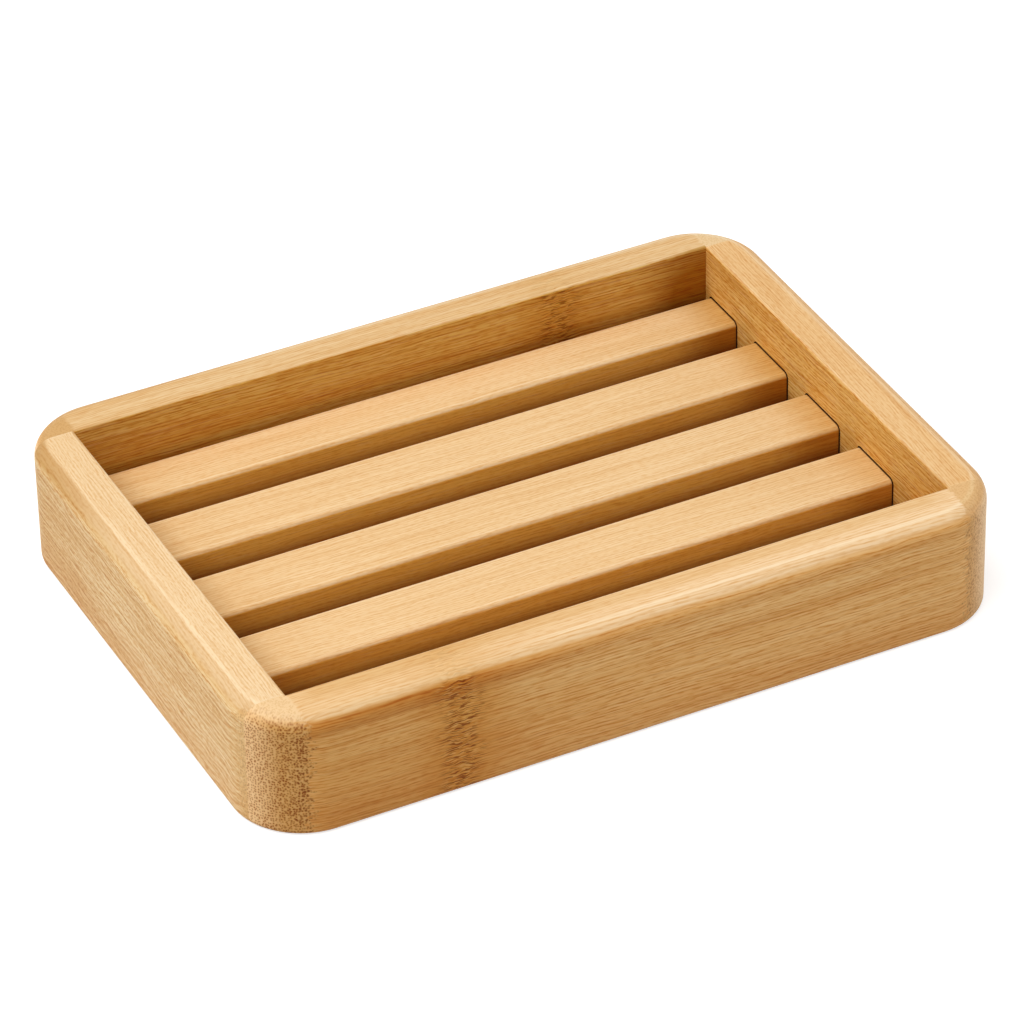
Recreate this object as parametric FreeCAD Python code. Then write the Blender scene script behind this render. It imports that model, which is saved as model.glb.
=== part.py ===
import FreeCAD, Part
import math
import os

Vector = FreeCAD.Vector

# Bamboo soap dish: four rails glued into a frame round a row of drain slats.
# Lengths are in millimetres. The origin is at the middle of the underside.
# +X runs along the dish, the front is towards -Y and +Z is up.

# Frame
dish_length = 130.0
dish_depth = 95.0
rail_thickness = 7.8
corner_radius = 12.0
rim_round = 3.0
foot_round = 1.0
inner_edge_round = 0.5

# Heights that stack up from the counter to the rim
slat_rise = 6.0
slat_thickness = 7.0
well_depth = 9.0

# Row of slats. Seen from in front, the front rail's rim hides the nearest one.
slat_count = 5
drain_gap = 6.0
side_gap = 1.35
edge_slat_share = 0.832
slat_edge_round = 0.9

# Blind mortises in the short rails, which hold the slats' ends
tenon_length = 3.2
mortise_clearance = 0.25
mortise_end_gap = 0.3

# Hidden dowels across the corner joints
dowel_diameter = 2.5
dowel_inset = 2.8
dowel_grip = 9.0
dowel_cover = 1.2
dowel_clearance = 0.1
dowel_end_gap = 0.3

# How far cutting shapes run past the wood, and how near counts as the same place
overrun = 2.0
same_place = 0.001

# Sizes worked out from those above
dish_height = slat_rise + slat_thickness + well_depth
inner_length = dish_length - 2 * rail_thickness
inner_depth = dish_depth - 2 * rail_thickness
slat_room = inner_depth - 2 * side_gap - (slat_count - 1) * drain_gap
slat_width = slat_room / (slat_count - 2 + 2 * edge_slat_share)
edge_slat_width = edge_slat_share * slat_width
slat_top = slat_rise + slat_thickness


def rounded_wire(half_u, half_v, radius, to_point):
    """Rectangle with four round corners; to_point turns its flat places into points in space."""
    arcs = []
    for turn, (side_u, side_v) in enumerate(((1, 1), (-1, 1), (-1, -1), (1, -1))):
        places = []
        for step in range(3):
            angle = (2 * turn + step) * math.pi / 4
            u = side_u * (half_u - radius) + radius * math.cos(angle)
            v = side_v * (half_v - radius) + radius * math.sin(angle)
            places.append(to_point(u, v))
        arcs.append(Part.Arc(*places).toShape())
    edges = []
    for arc, next_arc in zip(arcs, arcs[1:] + arcs[:1]):
        edges.append(arc)
        edges.append(Part.LineSegment(arc.lastVertex().Point, next_arc.firstVertex().Point).toShape())
    return Part.Wire(edges)


def edges_at_height(solid, height, half_x, half_y):
    """Edges that lie flat at a height, inside a rectangle about the origin."""
    picked = []
    for edge in solid.Edges:
        box = edge.BoundBox
        flat = abs(box.ZMin - height) < same_place and abs(box.ZMax - height) < same_place
        inside = max(-box.XMin, box.XMax) < half_x and max(-box.YMin, box.YMax) < half_y
        if flat and inside:
            picked.append(edge)
    return picked


def frame_blank():
    """The frame in one, so that its rounded faces run flush across the corner joints."""
    outline = rounded_wire(dish_length / 2, dish_depth / 2, corner_radius, lambda u, v: Vector(u, v, 0))
    blank = Part.Face(outline).extrude(Vector(0, 0, dish_height))
    reach_x = dish_length / 2 + same_place
    reach_y = dish_depth / 2 + same_place
    blank = blank.makeFillet(rim_round, edges_at_height(blank, dish_height, reach_x, reach_y))
    blank = blank.makeFillet(foot_round, edges_at_height(blank, 0, reach_x, reach_y))
    corner = Vector(-inner_length / 2, -inner_depth / 2, -overrun)
    blank = blank.cut(Part.makeBox(inner_length, inner_depth, dish_height + 2 * overrun, corner))
    reach_x = inner_length / 2 + same_place
    reach_y = inner_depth / 2 + same_place
    for height in (dish_height, 0):
        blank = blank.makeFillet(inner_edge_round, edges_at_height(blank, height, reach_x, reach_y))
    return blank


def saw_rails(blank):
    """Long rails keep the full length, and the short rails are butted between them."""
    tall = dish_height + 2 * overrun
    full_length = dish_length + 2 * overrun
    long_depth = rail_thickness + overrun
    short_length = rail_thickness + overrun
    front_corner = Vector(-full_length / 2, -inner_depth / 2 - long_depth, -overrun)
    rear_corner = Vector(-full_length / 2, inner_depth / 2, -overrun)
    left_corner = Vector(-inner_length / 2 - short_length, -inner_depth / 2, -overrun)
    right_corner = Vector(inner_length / 2, -inner_depth / 2, -overrun)
    return {
        "front_rail": blank.common(Part.makeBox(full_length, long_depth, tall, front_corner)),
        "rear_rail": blank.common(Part.makeBox(full_length, long_depth, tall, rear_corner)),
        "left_rail": blank.common(Part.makeBox(short_length, inner_depth, tall, left_corner)),
        "right_rail": blank.common(Part.makeBox(short_length, inner_depth, tall, right_corner)),
    }


def slat_places():
    """Middle and width of each slat, from the front. The two edge slats are ripped narrower."""
    pitch = slat_width + drain_gap
    places = []
    for number in range(slat_count):
        middle = (number - (slat_count - 1) / 2) * pitch
        width = slat_width
        if number in (0, slat_count - 1):
            width = edge_slat_width
            middle -= math.copysign((slat_width - edge_slat_width) / 2, middle)
        places.append((middle, width))
    return places


def slat_bar(middle, width, half_length, clearance):
    """Bar along X with eased long edges. Clearance widens it and raises its top, not its seat."""
    half_v = (slat_thickness + clearance) / 2
    start = Vector(-half_length, middle, slat_rise + half_v)
    section = rounded_wire(
        width / 2 + clearance, half_v, slat_edge_round + clearance, lambda u, v: start + Vector(0, u, v)
    )
    return Part.Face(section).extrude(Vector(2 * half_length, 0, 0))


def make_slats():
    """One slat for each place, its ends reaching into the mortises."""
    half_length = inner_length / 2 + tenon_length
    slats = {}
    for number, (middle, width) in enumerate(slat_places(), start=1):
        slats["slat_" + str(number)] = slat_bar(middle, width, half_length, 0)
    return slats


def cut_mortises(rails):
    """Blind mortises in the short rails, a little wider and higher than the slats' ends."""
    half_length = inner_length / 2 + tenon_length + mortise_end_gap
    for middle, width in slat_places():
        cutter = slat_bar(middle, width, half_length, mortise_clearance)
        for name in ("left_rail", "right_rail"):
            rails[name] = rails[name].cut(cutter)


def dowel_places():
    """Where each dowel crosses its joint: name, side of the dish, end of the dish and height."""
    upper_height = (slat_top + mortise_clearance + dish_height) / 2
    places = []
    for depth_name, depth_side in (("front", -1), ("rear", 1)):
        for end_name, end_side in (("left", -1), ("right", 1)):
            for level_name, height in (("lower", slat_rise / 2), ("upper", upper_height)):
                name = "_".join(("dowel", depth_name, end_name, level_name))
                places.append((name, depth_side, end_side, height))
    return places


def dowel_reach():
    """Depth of the hole in a long rail, which leaves the cover between it and the round corner."""
    hole_edge = inner_length / 2 + dowel_inset + dowel_diameter / 2 + dowel_clearance
    past_middle = max(hole_edge - (dish_length / 2 - corner_radius), 0)
    outer_face = dish_depth / 2 - corner_radius + math.sqrt(corner_radius ** 2 - past_middle ** 2)
    return outer_face - inner_depth / 2 - dowel_cover


def dowel_rod(radius, depth_side, end_side, height, in_long_rail, in_short_rail):
    """Rod along Y across one corner joint."""
    foot = Vector(
        end_side * (inner_length / 2 + dowel_inset),
        depth_side * (inner_depth / 2 + in_long_rail),
        height,
    )
    return Part.makeCylinder(radius, in_long_rail + in_short_rail, foot, Vector(0, -depth_side, 0))


def make_dowels():
    """Short plain pins cut square at both ends, a little shorter than their holes."""
    reach = dowel_reach() - dowel_end_gap
    dowels = {}
    for name, depth_side, end_side, height in dowel_places():
        dowels[name] = dowel_rod(dowel_diameter / 2, depth_side, end_side, height, reach, dowel_grip)
    return dowels


def drill_dowel_holes(rails):
    """Each hole runs through one joint, into the long rail and into the end of the short rail."""
    radius = dowel_diameter / 2 + dowel_clearance
    for _, depth_side, end_side, height in dowel_places():
        hole = dowel_rod(radius, depth_side, end_side, height, dowel_reach(), dowel_grip + dowel_end_gap)
        long_rail = "front_rail" if depth_side < 0 else "rear_rail"
        short_rail = "left_rail" if end_side < 0 else "right_rail"
        for name in (long_rail, short_rail):
            rails[name] = rails[name].cut(hole)


def single_solid(shape):
    """The one solid in a cut shape, with faces of one surface joined up."""
    return shape.removeSplitter().Solids[0]


rails = saw_rails(frame_blank())
cut_mortises(rails)
drill_dowel_holes(rails)

os.makedirs("parts", exist_ok=True)
for pieces in (rails, make_slats(), make_dowels()):
    for name, shape in pieces.items():
        single_solid(shape).exportStep("parts/" + name + ".step")
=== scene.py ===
import math

import bpy
from mathutils import Matrix, Vector


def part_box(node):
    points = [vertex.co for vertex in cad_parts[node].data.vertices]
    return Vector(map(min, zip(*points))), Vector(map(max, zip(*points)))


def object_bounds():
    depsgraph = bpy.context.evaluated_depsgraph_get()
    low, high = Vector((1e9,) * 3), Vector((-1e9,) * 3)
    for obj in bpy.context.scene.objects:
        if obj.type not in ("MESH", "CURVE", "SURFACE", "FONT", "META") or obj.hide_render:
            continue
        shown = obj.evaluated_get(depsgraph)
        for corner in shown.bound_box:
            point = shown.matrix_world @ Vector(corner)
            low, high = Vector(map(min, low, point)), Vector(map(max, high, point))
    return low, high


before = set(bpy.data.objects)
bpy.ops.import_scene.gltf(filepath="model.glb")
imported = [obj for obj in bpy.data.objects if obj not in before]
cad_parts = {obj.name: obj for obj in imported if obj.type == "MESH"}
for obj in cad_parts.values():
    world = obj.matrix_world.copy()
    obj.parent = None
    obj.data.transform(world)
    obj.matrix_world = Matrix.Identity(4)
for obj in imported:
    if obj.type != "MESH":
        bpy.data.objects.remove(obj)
cad_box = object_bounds()


# Long rails
# Two bars of laminated bamboo that run the full length of the dish, at the front and at the
# rear. Their ends are rounded off after gluing, so the corners show the cut fibres as brown
# dots. A knuckle of the cane crosses each rail as a band of short marks.

def srgb(red, green, blue):
    """A colour written as on screen, 0 to 255, as the linear RGBA that Blender's sockets take."""
    linear = []
    for value in (red, green, blue):
        share = value / 255
        linear.append(share / 12.92 if share <= 0.04045 else ((share + 0.055) / 1.055) ** 2.4)
    return (*linear, 1.0)


def node(tree, kind, sockets=None, **settings):
    """A new node. A socket is given a plain value, or another node's output to be linked to it."""
    made = tree.nodes.new("ShaderNode" + kind)
    for name, value in settings.items():
        setattr(made, name, value)
    for name, value in (sockets or {}).items():
        if isinstance(value, bpy.types.NodeSocket):
            tree.links.new(value, made.inputs[name])
        else:
            made.inputs[name].default_value = value
    return made


def reckoned(tree, operation, first, second=0.0, third=0.0):
    """One sum, product or other operation on numbers."""
    return node(tree, "Math", {0: first, 1: second, 2: third}, operation=operation).outputs[0]


def placed(tree, operation, first, second):
    """One sum, product or other operation on places."""
    return node(tree, "VectorMath", {0: first, 1: second}, operation=operation).outputs[0]


def shortened(tree, move, share):
    """A move sideways, cut down to a share."""
    return node(tree, "VectorMath", {0: move, "Scale": share}, operation="SCALE").outputs[0]


def fade(tree, value, start, end, low=0.0, high=1.0):
    """Goes smoothly from low to high as the value goes from start to end."""
    sockets = {"Value": value, "From Min": start, "From Max": end, "To Min": low, "To Max": high}
    return node(tree, "MapRange", sockets, interpolation_type="SMOOTHSTEP").outputs["Result"]


def product(tree, *values):
    """All the values multiplied together."""
    result = values[0]
    for value in values[1:]:
        result = reckoned(tree, "MULTIPLY", result, value)
    return result


def blended(tree, share, first, second, blend_type="MIX"):
    """Two colours mixed by a share."""
    made = node(tree, "Mix", data_type="RGBA", blend_type=blend_type)
    for place, value in ((0, share), (6, first), (7, second)):
        if isinstance(value, bpy.types.NodeSocket):
            tree.links.new(value, made.inputs[place])
        else:
            made.inputs[place].default_value = value
    return made.outputs[2]


def stained(tree, share, wood, stain):
    """The wood's colour darkened by a share of a stain."""
    return blended(tree, share, wood, stain, "MULTIPLY")


def noise(tree, place, stretch, detail=2.0):
    """Noise over a place in millimetres; stretch is how many grains there are in a millimetre each way."""
    scaled = placed(tree, "MULTIPLY", place, stretch)
    return node(tree, "TexNoise", {"Vector": scaled, "Scale": 1.0, "Detail": detail, "Roughness": 0.5})


def wander(tree, place, stretch, reach):
    """How far a fibre is moved sideways, up to about half the reach in millimetres."""
    moved = placed(tree, "SUBTRACT", noise(tree, place, stretch).outputs["Color"], (0.5, 0.5, 0.5))
    return placed(tree, "MULTIPLY", moved, (0.0, reach, reach))


def speck(tree, place, stretch, core, edge):
    """Rounded specks, one to a grain: full inside the core distance, gone outside the edge."""
    scaled = placed(tree, "MULTIPLY", place, stretch)
    distance = node(tree, "TexVoronoi", {"Vector": scaled, "Scale": 1.0}).outputs["Distance"]
    return fade(tree, distance, core, edge, 1.0, 0.0)


def pores(tree, section, place, number, core, edge):
    """Fibre bundles seen end on: round dots of several sizes, that many in a millimetre, and the
    pale walls of pith between them."""
    sockets = {"Vector": section, "Scale": number, "Randomness": 0.72}
    distance = node(tree, "TexVoronoi", sockets, voronoi_dimensions="2D").outputs["Distance"]
    size = noise(tree, place, (0.8, 0.8, 0.8)).outputs["Fac"]
    distance = reckoned(tree, "MULTIPLY_ADD", size, 0.5, reckoned(tree, "SUBTRACT", distance, 0.25))
    return fade(tree, distance, core, edge, 1.0, 0.0), fade(tree, distance, edge, edge + 0.35)


def grain(tree, fibre, shift, on_top, across, run):
    """Streaks that lie flat in the face that shows them: so many in a millimetre across, and that
    number times the run in a millimetre along. The shift keeps one set of streaks off another."""
    moved = placed(tree, "ADD", fibre, (0.0, shift, -shift))
    layers = []
    for flatten in ((run, 0.25, 1.0), (run, 1.0, 0.25)):
        sockets = {"Vector": placed(tree, "MULTIPLY", moved, flatten), "Scale": across, "Detail": 0.0}
        layers.append(node(tree, "TexNoise", sockets).outputs["Fac"])
    side, top = layers
    return reckoned(tree, "MULTIPLY_ADD", reckoned(tree, "SUBTRACT", top, side), on_top, side)


def ribs(tree, fibre, on_top, number_on_side, number_on_top):
    """Fine ribs of grain side by side, that many in a millimetre, which drift, merge and fade."""
    drift = noise(tree, fibre, (0.09, 0.40, 0.40), 1.0).outputs["Fac"]
    parts = node(tree, "SeparateXYZ", {0: fibre}).outputs
    layers = []
    for across, number in ((parts["Z"], number_on_side), (parts["Y"], number_on_top)):
        turns = reckoned(tree, "MULTIPLY_ADD", across, number, reckoned(tree, "MULTIPLY", drift, 2.6))
        layers.append(reckoned(tree, "SINE", reckoned(tree, "MULTIPLY", turns, 2.0 * math.pi)))
    side, top = layers
    return reckoned(tree, "MULTIPLY_ADD", reckoned(tree, "SUBTRACT", top, side), on_top, side)


def bamboo_group():
    """Bamboo's look at a place in a piece, in millimetres: X along the fibres, Y in from the outer
    face, Z up. Cut says how squarely the fibres are cut across there. Knuckle is where the cane's
    knuckle crosses, and Corner is where the piece meets its neighbour. Contrast, Ribs, Ribbing, Broad
    and Run set the grain, Pale the painted highlights on raised fibres, and Cut start and Bold the dots
    of the cut ends. Dark end, Low end, High end and Sheltered say where painted shade darkens the
    wood, and Rim, Gilt and Under colour the rim, with its painted shade and highlight."""
    tree = bpy.data.node_groups.new("bamboo", "ShaderNodeTree")
    for in_out, kind, names in (
        ("INPUT", "Vector", ("Place",)),
        ("INPUT", "Float", (
            "Cut", "Seed", "Tilt", "Knuckle", "Corner", "Rim", "Contrast", "Pale", "Ribs", "Ribbing", "Broad",
            "Run", "Cut start", "Bold", "Dark end", "Gilt", "Under", "Low end", "High end", "Sheltered",
        )),
        ("INPUT", "Color", ("Top", "Side", "Inner")),
        ("OUTPUT", "Color", ("Color",)),
        ("OUTPUT", "Float", ("Roughness", "Relief")),
    ):
        for name in names:
            tree.interface.new_socket(name, in_out=in_out, socket_type="NodeSocket" + kind)
    given = tree.nodes.new("NodeGroupInput").outputs

    place = given["Place"]
    contrast = given["Contrast"]
    parts = node(tree, "SeparateXYZ", {0: place}).outputs
    along, inward, height = parts["X"], parts["Y"], parts["Z"]
    upward = node(tree, "SeparateXYZ", {0: node(tree, "NewGeometry").outputs["Normal"]}).outputs["Z"]
    on_top = fade(tree, reckoned(tree, "MULTIPLY_ADD", given["Sheltered"], 0.25, upward), 0.40, 0.76)
    on_side = reckoned(tree, "SUBTRACT", 1.0, on_top)
    lies_flat = reckoned(tree, "MAXIMUM", on_top, fade(tree, upward, -0.40, -0.76))
    past_corner = reckoned(tree, "SUBTRACT", reckoned(tree, "ABSOLUTE", along), given["Corner"])
    from_inner_face = reckoned(tree, "SUBTRACT", rail_thickness, inward)
    on_inside = product(tree, fade(tree, from_inner_face, 0.65, 0.2), fade(tree, past_corner, 0.1, 0.0))
    on_outside = fade(tree, inward, 2.0, 3.4, 1.0, 0.0)
    lean = reckoned(tree, "MULTIPLY", along, given["Tilt"])
    quicker = reckoned(tree, "SUBTRACT", given["Run"], 1.0)
    cane = placed(tree, "ADD", place, node(tree, "CombineXYZ", {
        0: reckoned(tree, "MULTIPLY_ADD", along, quicker, product(tree, given["Seed"], 61.0)),
        1: reckoned(tree, "MULTIPLY_ADD", given["Seed"], 23.0, lean),
        2: reckoned(tree, "MULTIPLY_ADD", given["Seed"], 41.0, lean),
    }).outputs[0])

    # The knuckle wanders a little across the rail and fades out to both sides
    from_ring = reckoned(tree, "SUBTRACT", along, given["Knuckle"])
    wobble = noise(tree, cane, (0.05, 0.30, 0.30)).outputs["Fac"]
    from_ring = reckoned(tree, "MULTIPLY_ADD", wobble, 6.0, reckoned(tree, "SUBTRACT", from_ring, 3.0))
    ring_distance = reckoned(tree, "ABSOLUTE", from_ring)
    ring = fade(tree, ring_distance, 0.5, 5.5, 1.0, 0.0)

    # Fibres wave gently along the piece, and are ruffled at the knuckle
    ruffle = shortened(tree, wander(tree, cane, (0.45, 0.60, 0.60), 1.0), ring)
    fibre = placed(tree, "ADD", cane, wander(tree, cane, (0.020, 0.03, 0.03), 1.4))
    wave = wander(tree, cane, (0.12, 0.25, 0.25), 0.32)
    wave = shortened(tree, wave, reckoned(tree, "DIVIDE", 1.0, given["Run"]))
    fibre = placed(tree, "ADD", fibre, wave)
    fibre = placed(tree, "ADD", fibre, wander(tree, cane, (0.50, 0.70, 0.70), 0.12))
    fibre = placed(tree, "ADD", fibre, ruffle)

    # On the corners' tops the fibres are planed across, which shows as a fine speckle
    ragged = noise(tree, cane, (0.3, 2.2, 2.2)).outputs["Fac"]
    patch = reckoned(tree, "MULTIPLY_ADD", ragged, 1.6, past_corner)
    patch = product(tree, fade(tree, patch, 0.3, 1.0), on_top)
    cut = reckoned(tree, "SUBTRACT", reckoned(tree, "MULTIPLY_ADD", ragged, 0.5, given["Cut"]), 0.25)
    cut = fade(tree, reckoned(tree, "SUBTRACT", cut, given["Cut start"]), 0.0, 0.12)
    plain = reckoned(tree, "SUBTRACT", 1.0, reckoned(tree, "MAXIMUM", product(tree, cut, 0.8), patch))
    quieter_side = reckoned(tree, "MULTIPLY_ADD", product(tree, given["Sheltered"], on_side), -0.35, 1.0)
    on_round = product(tree, fade(tree, upward, 0.10, 0.35), fade(tree, upward, 0.97, 0.85), on_outside)
    turned = product(tree, on_round, given["Gilt"])
    top_strength = fade(tree, given["Gilt"], 0.0, 1.0, 0.55, 0.42)
    grain_strength = product(
        tree, contrast, plain, quieter_side,
        fade(tree, on_top, 0.0, 1.0, 1.0, top_strength), fade(tree, turned, 0.0, 1.0, 1.0, 0.7),
    )

    # Layers of grain: broad bands, dark streaks, hairlines and bundles of fibres, and pale streaks that are
    # painted highlights
    # Inner faces take the darker Inner colour, which is painted shade; sides take a deeper gold than tops,
    # partly the bamboo's flat and edge grain and partly painted shade
    wood = blended(tree, on_inside, given["Side"], given["Inner"])
    wood = blended(tree, lies_flat, wood, given["Top"])
    band = noise(tree, fibre, (0.012, 0.14, 0.14), 1.0).outputs["Fac"]
    broad = grain(tree, fibre, 0.0, lies_flat, 0.80, 0.02)
    lines = grain(tree, fibre, 13.0, lies_flat, 4.8, 0.007)
    dash = grain(tree, fibre, 47.0, lies_flat, 4.2, 0.14)
    thread = grain(tree, fibre, 67.0, lies_flat, 4.4, 0.03)
    rib = fade(tree, ribs(tree, fibre, lies_flat, given["Ribs"], 1.85), -0.3, 1.0)
    rib = product(tree, rib, fade(tree, dash, 0.35, 0.60, 0.40, 1.0), given["Ribbing"])
    for share, strength, stain in (
        (fade(tree, band, 0.38, 0.62), 0.5, srgb(246, 236, 218)),
        (product(tree, fade(tree, broad, 0.38, 0.64), given["Broad"]), 0.40, srgb(246, 232, 206)),
        (rib, 0.9, srgb(237, 212, 173)),
        (fade(tree, lines, 0.46, 0.68), 0.6, srgb(228, 200, 152)),
        (fade(tree, dash, 0.52, 0.68), 0.4, srgb(236, 210, 164)),
    ):
        wood = stained(tree, product(tree, share, strength, grain_strength), wood, stain)
    # Painted highlight: pale threads stand for light catching the raised fibres
    pale = product(tree, fade(tree, thread, 0.58, 0.70), given["Pale"], grain_strength)
    wood = blended(tree, pale, wood, srgb(255, 226, 172))

    # Painted highlight: the edges just under the flat tops are painted paler
    dark_end = fade(tree, product(tree, along, given["Dark end"]), -10.0, 50.0)
    edge = product(tree, fade(tree, upward, 0.93, 0.965), fade(tree, upward, 0.999, 0.985))
    painted_highlight_share = fade(tree, dark_end, 0.0, 1.0, fade(tree, given["Under"], 0.0, 1.0, 0.26, 0.42), 0.0)
    wood = blended(tree, product(tree, edge, painted_highlight_share), wood, srgb(255, 238, 204))
    short_of_corner = fade(tree, past_corner, -5.0, -0.5, 1.0, 0.0)
    inner_half = product(tree, fade(tree, inward, 3.6, 6.0), on_top, short_of_corner, given["Under"])
    wood = stained(tree, inner_half, wood, srgb(246, 240, 226))

    # Painted shade: each piece is painted darker towards one end, a gradient of light along it, and its outer
    # faces darker towards the foot
    dark_top = fade(tree, given["Under"], 0.0, 1.0, 0.35, 0.65)
    dark_top = fade(tree, on_top, 0.0, 1.0, 1.0, dark_top)
    dark_share = product(tree, dark_end, dark_top, fade(tree, on_inside, 0.0, 1.0, 1.0, 0.5))
    wood = stained(tree, dark_share, wood, srgb(241, 231, 210))
    wood = stained(tree, product(tree, fade(tree, height, 10.0, 2.0), on_outside), wood, srgb(248, 239, 228))

    # The turned rim is golden, partly the wood's colour and partly painted shade on the round, with a painted
    # highlight above it, a thin darker line, and a band of painted shade under the line
    rim_patches = noise(tree, fibre, (0.03, 0.5, 0.5)).outputs["Fac"]
    from_rim = reckoned(tree, "SUBTRACT", height, given["Rim"])
    from_rim = reckoned(tree, "MULTIPLY_ADD", rim_patches, 0.8, reckoned(tree, "SUBTRACT", from_rim, 0.4))
    rim_distance = reckoned(tree, "ABSOLUTE", from_rim)
    rim_share = product(tree, fade(tree, dark_end, 0.0, 1.0, 0.35, 1.0), on_outside)
    rounded_rim = product(tree, fade(tree, upward, 0.15, 0.50), fade(tree, upward, 0.99, 0.90))
    gilt = product(tree, rounded_rim, rim_share, given["Gilt"])
    wood = stained(tree, gilt, wood, srgb(214, 192, 154))
    # Painted shade: a band just under the rim line is darkened
    under = product(tree, fade(tree, from_rim, 0.2, -0.5), fade(tree, from_rim, -3.4, -1.6), rim_share)
    wood = stained(tree, product(tree, under, given["Under"]), wood, srgb(228, 206, 170))
    line = product(tree, fade(tree, rim_distance, 0.05, 0.30, 1.0, 0.0), fade(tree, rim_patches, 0.34, 0.52))
    wood = stained(tree, product(tree, line, rim_share, given["Under"]), wood, srgb(236, 208, 152))

    # Knuckle: a golden tint with short brown dashes along the fibres, and paler dashes between them that are
    # painted highlights
    ring_inside = fade(tree, on_inside, 0.0, 1.0, 1.0, 0.8)
    ring_strength = product(tree, fade(tree, on_top, 0.0, 1.0, 1.0, 0.20), ring_inside)
    around_ring = product(tree, fade(tree, ring_distance, 3.0, 11.0, 1.0, 0.0), ring_strength)
    wood = stained(tree, around_ring, wood, srgb(244, 230, 200))
    wood = stained(tree, product(tree, ring, ring_strength), wood, srgb(247, 240, 213))
    close = product(tree, fade(tree, ring_distance, 1.2, 5.0, 1.0, 0.0), ring_strength)
    mark = grain(tree, fibre, 83.0, lies_flat, 5.4, 0.11)
    painted_lip_highlight = grain(tree, fibre, 97.0, lies_flat, 5.0, 0.13)
    painted_lip_highlight = product(tree, fade(tree, painted_lip_highlight, 0.54, 0.66), close)
    mark = product(tree, fade(tree, mark, 0.54, 0.64), close)
    wood = blended(tree, product(tree, painted_lip_highlight, 0.35), wood, srgb(244, 196, 120))
    wood = stained(tree, mark, wood, srgb(174, 142, 73))

    # Cut ends: the bundles of fibres show as brown dots in paler pith, larger where the cut begins
    edge_of_cut = product(tree, fade(tree, given["Cut"], 0.90, 0.40), given["Bold"])
    far = fade(tree, along, -2.0, 2.0)
    aslant = fade(tree, far, 0.0, 1.0, 0.60, 0.30)
    square = fade(tree, far, 0.0, 1.0, 1.0, 0.80)
    squarely = fade(tree, given["Cut"], aslant, square)
    quiet = fade(tree, product(tree, far, given["Bold"]), 0.0, 1.0, 1.0, 0.45)
    before_bend = reckoned(tree, "SUBTRACT", given["Corner"], corner_radius - rail_thickness)
    past_bend = reckoned(tree, "SUBTRACT", reckoned(tree, "ABSOLUTE", along), before_bend)
    bend = reckoned(tree, "ARCTAN2", past_bend, reckoned(tree, "SUBTRACT", corner_radius, inward))
    curve = reckoned(tree, "MULTIPLY_ADD", bend, corner_radius, product(tree, given["Seed"], 23.0))
    curve = reckoned(tree, "MULTIPLY_ADD", quiet, 50.0, curve)
    fibre_height = node(tree, "SeparateXYZ", {0: fibre}).outputs["Z"]
    section = node(tree, "CombineXYZ", {0: curve, 1: fibre_height}).outputs[0]
    shown = product(tree, cut, quiet, fade(tree, upward, 0.10, 0.95, 1.0, 0.22))
    dot, wall = pores(tree, section, cane, 2.15, 0.02, 0.47)
    dot = product(tree, dot, shown, fade(tree, given["Bold"], 0.0, 1.0, 0.5, 1.0))
    wall = product(tree, wall, shown, given["Bold"], fade(tree, squarely, 0.0, 1.0, 0.12, 0.40))
    big_dot = product(tree, pores(tree, section, cane, 1.35, 0.10, 0.42)[0], shown, edge_of_cut)
    fine_dot = product(tree, speck(tree, cane, (2.9, 2.9, 2.9), 0.20, 0.60), patch)
    dark_pith = blended(tree, far, srgb(212, 159, 89), srgb(224, 171, 105))
    pale_pith = blended(tree, far, srgb(249, 206, 150), srgb(255, 217, 168))
    pith = blended(tree, squarely, dark_pith, pale_pith)
    pith = blended(tree, product(tree, fade(tree, upward, 0.3, 0.8), 0.8), pith, srgb(255, 216, 164))
    wood = blended(tree, product(tree, cut, given["Bold"], fade(tree, upward, 0.95, 0.45)), wood, pith)
    wood = blended(tree, wall, wood, srgb(255, 224, 172))
    wood = stained(tree, dot, wood, srgb(178, 120, 44))
    wood = stained(tree, product(tree, big_dot, 0.8), wood, srgb(180, 130, 66))
    wood = stained(tree, product(tree, patch, far, given["Bold"]), wood, srgb(235, 219, 192))
    wood = stained(tree, fine_dot, wood, srgb(243, 236, 224))
    worn = product(tree, cut, far, fade(tree, given["Bold"], 0.0, 1.0, 1.0, 0.0))
    wood = stained(tree, worn, wood, srgb(244, 231, 212))

    # Painted shade: inside the dish the wood is painted darker low down, towards the ends and in the corners
    sheltered = reckoned(tree, "MAXIMUM", given["Sheltered"], on_inside)
    upright = product(tree, on_side, fade(tree, upward, -0.5, -0.1))
    deep = product(tree, fade(tree, height, 11.0, 6.5), sheltered, upright)
    wood = stained(tree, deep, wood, srgb(148, 100, 26))
    low_inside = product(tree, fade(tree, height, 21.5, 12.5), on_inside, given["Bold"])
    wood = stained(tree, low_inside, wood, srgb(232, 218, 190))
    end_shade = product(tree, fade(tree, along, -2.0, 2.0, given["Low end"], given["High end"]), sheltered)
    far_share = fade(tree, along, -2.0, 2.0, 0.75, fade(tree, given["Sheltered"], 0.0, 1.0, 0.1, 0.5))
    far_shade = product(tree, fade(tree, past_corner, -22.0, -2.0), sheltered, far_share)
    wood = stained(tree, far_shade, wood, srgb(240, 234, 222))
    near_top = product(tree, fade(tree, past_corner, -9.0, 0.0), end_shade, on_top)
    wood = stained(tree, near_top, wood, srgb(223, 204, 154))
    lower_down = fade(tree, height, 22.0, 14.0, 0.5, 1.0)
    near_side = product(tree, fade(tree, past_corner, -14.0, -2.0), lower_down, upright, end_shade)
    wood = stained(tree, near_side, wood, srgb(198, 166, 86))

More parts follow.
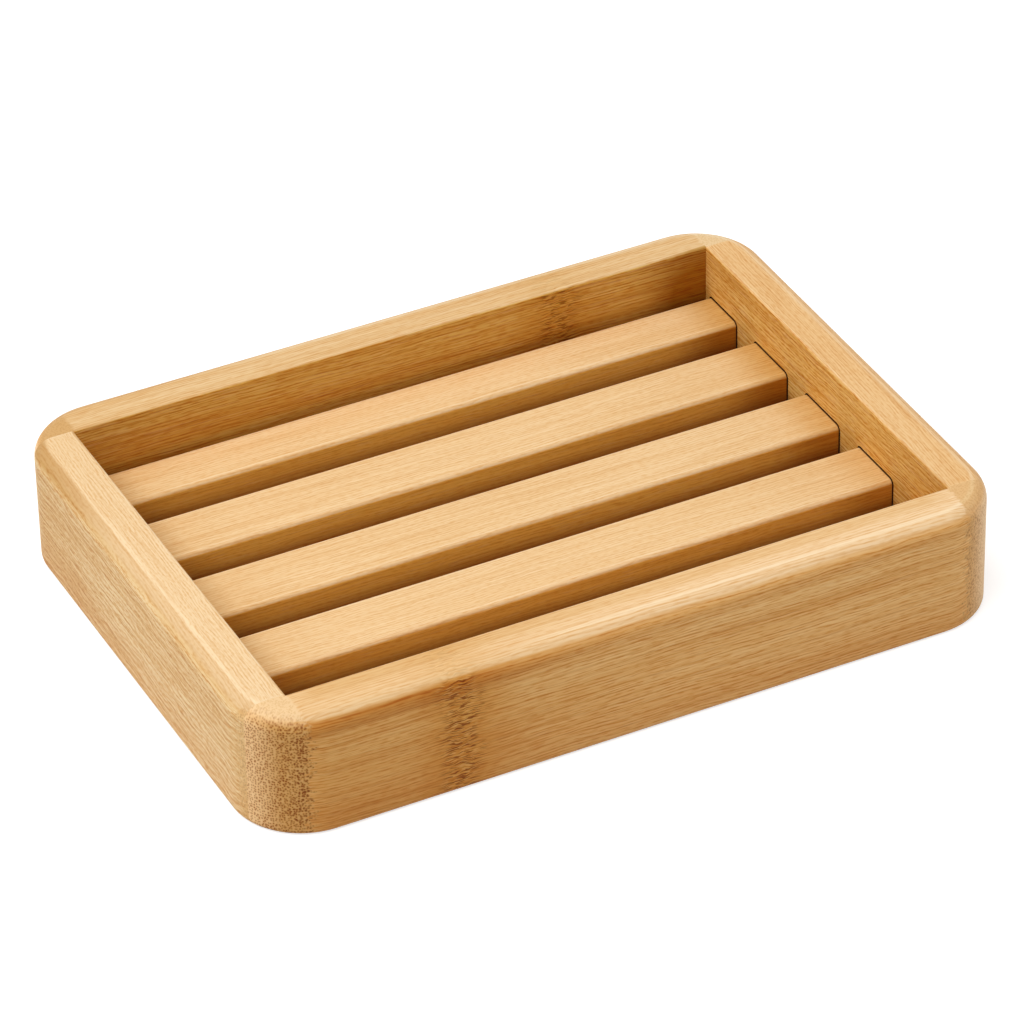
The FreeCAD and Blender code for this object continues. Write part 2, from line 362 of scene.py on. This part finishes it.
    relief = reckoned(tree, "MULTIPLY_ADD", lines, -0.3, reckoned(tree, "MULTIPLY", dash, -0.3))
    relief = reckoned(tree, "MULTIPLY_ADD", reckoned(tree, "ADD", dot, big_dot), -0.5, relief)
    relief = reckoned(tree, "MULTIPLY_ADD", mark, -0.6, relief)
    shine = reckoned(tree, "MULTIPLY_ADD", lines, 0.12, 0.42)
    shine = reckoned(tree, "MULTIPLY_ADD", cut, 0.12, shine)
    shine = reckoned(tree, "MULTIPLY_ADD", reckoned(tree, "MAXIMUM", deep, near_side), 0.35, shine)

    result = tree.nodes.new("NodeGroupOutput").inputs
    tree.links.new(wood, result["Color"])
    tree.links.new(shine, result["Roughness"])
    tree.links.new(relief, result["Relief"])
    return tree


def bamboo(name, turn, half_width, seed, corner, top, side, inner, habits):
    """One piece's own bamboo. The turn lays its fibres along the piece, and the half width puts the
    outer face at depth zero. Its habits are how it differs from plain cane."""
    material = bpy.data.materials.new(name)
    material.use_nodes = True
    tree = material.node_tree
    tree.nodes.clear()
    where = node(tree, "TexCoord").outputs
    turned = math.radians(turn)
    place = node(tree, "Mapping", {
        "Vector": where["Object"],
        "Location": (0.0, half_width, 0.0),
        "Rotation": (0.0, 0.0, turned),
        "Scale": (millimetres, millimetres, millimetres),
    }).outputs[0]
    fibre_way = (math.cos(turned), -math.sin(turned), 0.0)
    across = node(tree, "VectorMath", {0: where["Normal"], 1: fibre_way}, operation="DOT_PRODUCT")
    wood = node(tree, "Group", {}, node_tree=bamboo_look)
    values = {
        "Seed": seed, "Corner": corner, "Top": top, "Side": side, "Inner": inner,
        "Tilt": 0.0, "Knuckle": out_of_reach, "Rim": out_of_reach, "Contrast": 1.0, "Pale": 0.15,
        "Ribs": 1.8, "Ribbing": 1.0, "Broad": 1.0, "Run": 1.0, "Cut start": 0.27, "Bold": 1.0,
        "Dark end": 0.0, "Gilt": 0.0, "Under": 0.0, "Low end": 0.5, "High end": 0.5, "Sheltered": 0.0,
    }
    values.update(habits)
    for socket, value in values.items():
        wood.inputs[socket].default_value = value
    tree.links.new(place, wood.inputs["Place"])
    tree.links.new(reckoned(tree, "ABSOLUTE", across.outputs["Value"]), wood.inputs["Cut"])
    bump = node(tree, "Bump", {"Height": wood.outputs["Relief"], "Strength": 0.3, "Distance": 0.00005})
    shader = node(tree, "BsdfPrincipled", {
        "Base Color": wood.outputs["Color"],
        "Roughness": wood.outputs["Roughness"],
        "Normal": bump.outputs["Normal"],
        "IOR": 1.45,
        "Specular IOR Level": 0.18,
    })
    node(tree, "OutputMaterial", {"Surface": shader.outputs["BSDF"]})
    return material


def dress(name, material):
    """Gives a piece of the frame its own wood."""
    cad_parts[name].data.materials.clear()
    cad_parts[name].data.materials.append(material)


millimetres = 1000.0
half_length, half_depth, dish_height = (millimetres * size for size in cad_box[1])
low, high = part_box("front_rail")
rail_thickness = millimetres * (high.y - low.y)
inner_half_length = half_length - rail_thickness
corner_radius = 12.0
rim_line_drop = 1.2
rim_height = dish_height - rim_line_drop
out_of_reach = 1000.0
bamboo_look = bamboo_group()

long_outside = srgb(250, 202, 134)
# Painted shade: the inside colour is a darker, browner copy of the outside colour
long_inside = srgb(238, 200, 115)
front_bamboo = bamboo(
    "bamboo_front", 0.0, half_depth, 1.0, inner_half_length, srgb(243, 211, 168), long_outside, long_inside,
    {"Knuckle": -31.8, "Rim": rim_height, "Tilt": 0.01, "Dark end": -1.0, "Under": 1.0},
)
rear_bamboo = bamboo(
    "bamboo_rear", 180.0, half_depth, 2.0, inner_half_length, srgb(231, 198, 150), long_outside, long_inside,
    {"Knuckle": -29.6, "Rim": rim_height, "Tilt": -0.01, "Contrast": 1.3, "Broad": 1.6, "Dark end": 1.0,
     "Gilt": 0.4, "Low end": 1.4, "High end": 0.1},
)
dress("front_rail", front_bamboo)
dress("rear_rail", rear_bamboo)


# Short rails
# Two shorter bars of the same laminated bamboo, glued between the long ones with their fibres
# running across the dish. Blind mortises in their inner faces take the slats' ends.

def show_glue_and_gap_shade(material, share):
    """Paints dark glue, and with it the shade of the gap, on a piece wherever the share that it is given is
    one.
    """
    tree = material.node_tree
    shader = tree.nodes["Principled BSDF"]
    wood = shader.inputs["Base Color"].links[0].from_socket
    tree.links.new(blended(tree, share, wood, srgb(62, 30, 9)), shader.inputs["Base Color"])


def mortise_walls(material):
    """One on the walls of the mortises, just behind the inner face, and nothing elsewhere."""
    tree = material.node_tree
    parts = node(tree, "SeparateXYZ", {0: tree.nodes["Mapping"].outputs[0]}).outputs
    low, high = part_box("slat_3")
    foot, top = millimetres * low.z, millimetres * high.z
    from_inner_face = reckoned(tree, "SUBTRACT", rail_thickness, parts["Y"])
    from_joint = reckoned(tree, "SUBTRACT", inner_half_depth, reckoned(tree, "ABSOLUTE", parts["X"]))
    return product(
        tree,
        fade(tree, from_inner_face, 4.8, 4.7), fade(tree, from_inner_face, 0.05, 0.10),
        fade(tree, parts["Z"], foot - 0.2, foot - 0.1), fade(tree, parts["Z"], top + 0.45, top + 0.35),
        fade(tree, from_joint, 0.2, 0.3),
    )


inner_half_depth = half_depth - rail_thickness
short_outside = srgb(250, 221, 171)
# Painted shade: the inside colour is a darker, browner copy of the outside colour
short_inside = srgb(237, 195, 116)
left_bamboo = bamboo(
    "bamboo_left", 90.0, half_length, 3.0, inner_half_depth, srgb(240, 211, 169), short_outside, short_inside,
    {"Rim": rim_height, "Tilt": 0.02, "Contrast": 1.35, "Ribs": 0.92, "Broad": 0.2, "Run": 2.2,
     "Cut start": 0.16, "Bold": 0.0, "Dark end": -0.9, "Gilt": 1.0},
)
right_bamboo = bamboo(
    "bamboo_right", -90.0, half_length, 4.0, inner_half_depth,
    srgb(235, 195, 141), short_outside, short_inside,
    {"Rim": rim_height, "Tilt": 0.02, "Contrast": 1.45, "Ribs": 1.4, "Ribbing": 0.9, "Broad": 0.5,
     "Run": 1.5, "Cut start": 0.16, "Bold": 0.0, "Gilt": 0.4, "Low end": 0.2, "High end": 0.0},
)
for name, material in (("left_rail", left_bamboo), ("right_rail", right_bamboo)):
    # The mortise walls are painted dark brown: glue, and painted shade in the gap round each slat
    show_glue_and_gap_shade(material, mortise_walls(material))
    dress(name, material)


# Slats
# Five bars of the same laminated bamboo, with their long edges eased. Their ends are glued into
# the short rails' mortises; the ends and the mortise walls are painted dark brown, for the glue and
# for painted shade in the gap, which leaves a dark line round each end.

def glued_and_shaded_end(material):
    """One on the end of a slat, from just outside its mortise, and nothing elsewhere."""
    tree = material.node_tree
    along = node(tree, "SeparateXYZ", {0: tree.nodes["Mapping"].outputs[0]}).outputs["X"]
    from_rail = reckoned(tree, "SUBTRACT", inner_half_length, reckoned(tree, "ABSOLUTE", along))
    return fade(tree, from_rail, 0.18, 0.10)


slat_side = srgb(255, 194, 88)
for number in range(1, 6):
    name = "slat_" + str(number)
    low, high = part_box(name)
    middle = millimetres * (low.y + high.y) / 2
    slat_bamboo = bamboo(
        "bamboo_" + name, 0.0, -middle, 10.0 + number, inner_half_length,
        srgb(239, 205, 157), slat_side, slat_side,
        {"Tilt": 0.006, "Ribs": 1.6, "Run": 1.5, "Sheltered": 1.0, "High end": min(0.9, 0.25 * number)},
    )
    show_glue_and_gap_shade(slat_bamboo, glued_and_shaded_end(slat_bamboo))
    dress(name, slat_bamboo)


# Dowels
# Eight plain bamboo pins, two across each corner joint. They are cut square at both ends and
# glued into blind holes, so they're wholly inside the rails.

pin_side = srgb(226, 180, 122)
pin_bamboo = bamboo("bamboo_pin", 90.0, 0.0, 20.0, out_of_reach, srgb(232, 190, 136), pin_side, pin_side, {})
for name in sorted(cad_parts):
    if name.startswith("dowel_"):
        dress(name, pin_bamboo)


# Photographer's table
# A wide sheet of white card in a white room. A large soft lamp hangs overhead to the left, and
# a smaller, weaker one stands low on the right.

card = bpy.data.meshes.new("card")
card_half = 3.0
card.from_pydata(
    [(card_half * x, card_half * y, 0) for x, y in ((-1, -1), (1, -1), (1, 1), (-1, 1))], [], [(0, 1, 2, 3)],
)
floor = bpy.data.objects.new("floor", card)
bpy.context.scene.collection.objects.link(floor)


def seen_straight(tree):
    """One where the card or the room is seen, also in gloss or through glass, and nothing where it lights."""
    rays = node(tree, "LightPath").outputs
    seen = reckoned(tree, "MAXIMUM", rays["Is Camera Ray"], rays["Is Glossy Ray"])
    return reckoned(tree, "MAXIMUM", seen, rays["Is Transmission Ray"])


card_white = bpy.data.materials.new("card_white")
card_white.use_nodes = True
tree = card_white.node_tree
tree.nodes.clear()
paper = node(tree, "BsdfDiffuse", {"Color": (0.58, 0.58, 0.58, 1.0)}).outputs[0]
glow_strength = product(tree, seen_straight(tree), 0.68)
glow = node(tree, "Emission", {"Color": (1.0, 1.0, 1.0, 1.0), "Strength": glow_strength})
both = node(tree, "AddShader", {0: paper, 1: glow.outputs[0]})
node(tree, "OutputMaterial", {"Surface": both.outputs[0]})
card.materials.append(card_white)

room = bpy.data.worlds.new("room")
bpy.context.scene.world = room
room.use_nodes = True
tree = room.node_tree
tree.nodes.clear()
strength = fade(tree, seen_straight(tree), 0.0, 1.0, 0.37, 1.0)
sky = node(tree, "Background", {"Color": (1.0, 1.0, 1.0, 1.0), "Strength": strength})
node(tree, "OutputWorld", {"Surface": sky.outputs[0]})


def soft_lamp(name, width, watts, place):
    """A square lamp that faces the dish."""
    light = bpy.data.lights.new(name, "AREA")
    light.shape = "RECTANGLE"
    light.size = width
    light.size_y = width
    light.energy = watts
    lamp = bpy.data.objects.new(name, light)
    lamp.location = Vector(place)
    lamp.rotation_mode = "QUATERNION"
    lamp.rotation_quaternion = (lamp.location - dish_middle).to_track_quat("Z", "Y")
    bpy.context.scene.collection.objects.link(lamp)


dish_middle = Vector((0.0, 0.0, 0.01))
soft_lamp("softbox", 0.9, 11.0, (-0.45, -0.05, 1.0))
soft_lamp("fill", 0.5, 2.8, (1.20, -0.20, 0.22))


# Camera
# A long lens from the front left, 35 degrees above the table. Where it stands and how it is
# turned were fitted to the outline and the edges in the photograph.

lens = bpy.data.cameras.new("camera")
lens.sensor_width = 36.0
lens.lens = 212.145
lens.clip_start = 0.05
lens.clip_end = 20.0
camera = bpy.data.objects.new("camera", lens)
right = Vector((0.891747, -0.452225, -0.016740))
up = Vector((0.272078, 0.506222, 0.818360))
back = Vector((-0.361609, -0.734325, 0.574462))
stand = Matrix((right, up, back)).transposed().to_4x4()
stand.translation = Vector((-0.346080, -0.704274, 0.562442))
camera.matrix_world = stand
bpy.context.scene.collection.objects.link(camera)
bpy.context.scene.camera = camera

bpy.context.scene.view_settings.view_transform = "Standard"
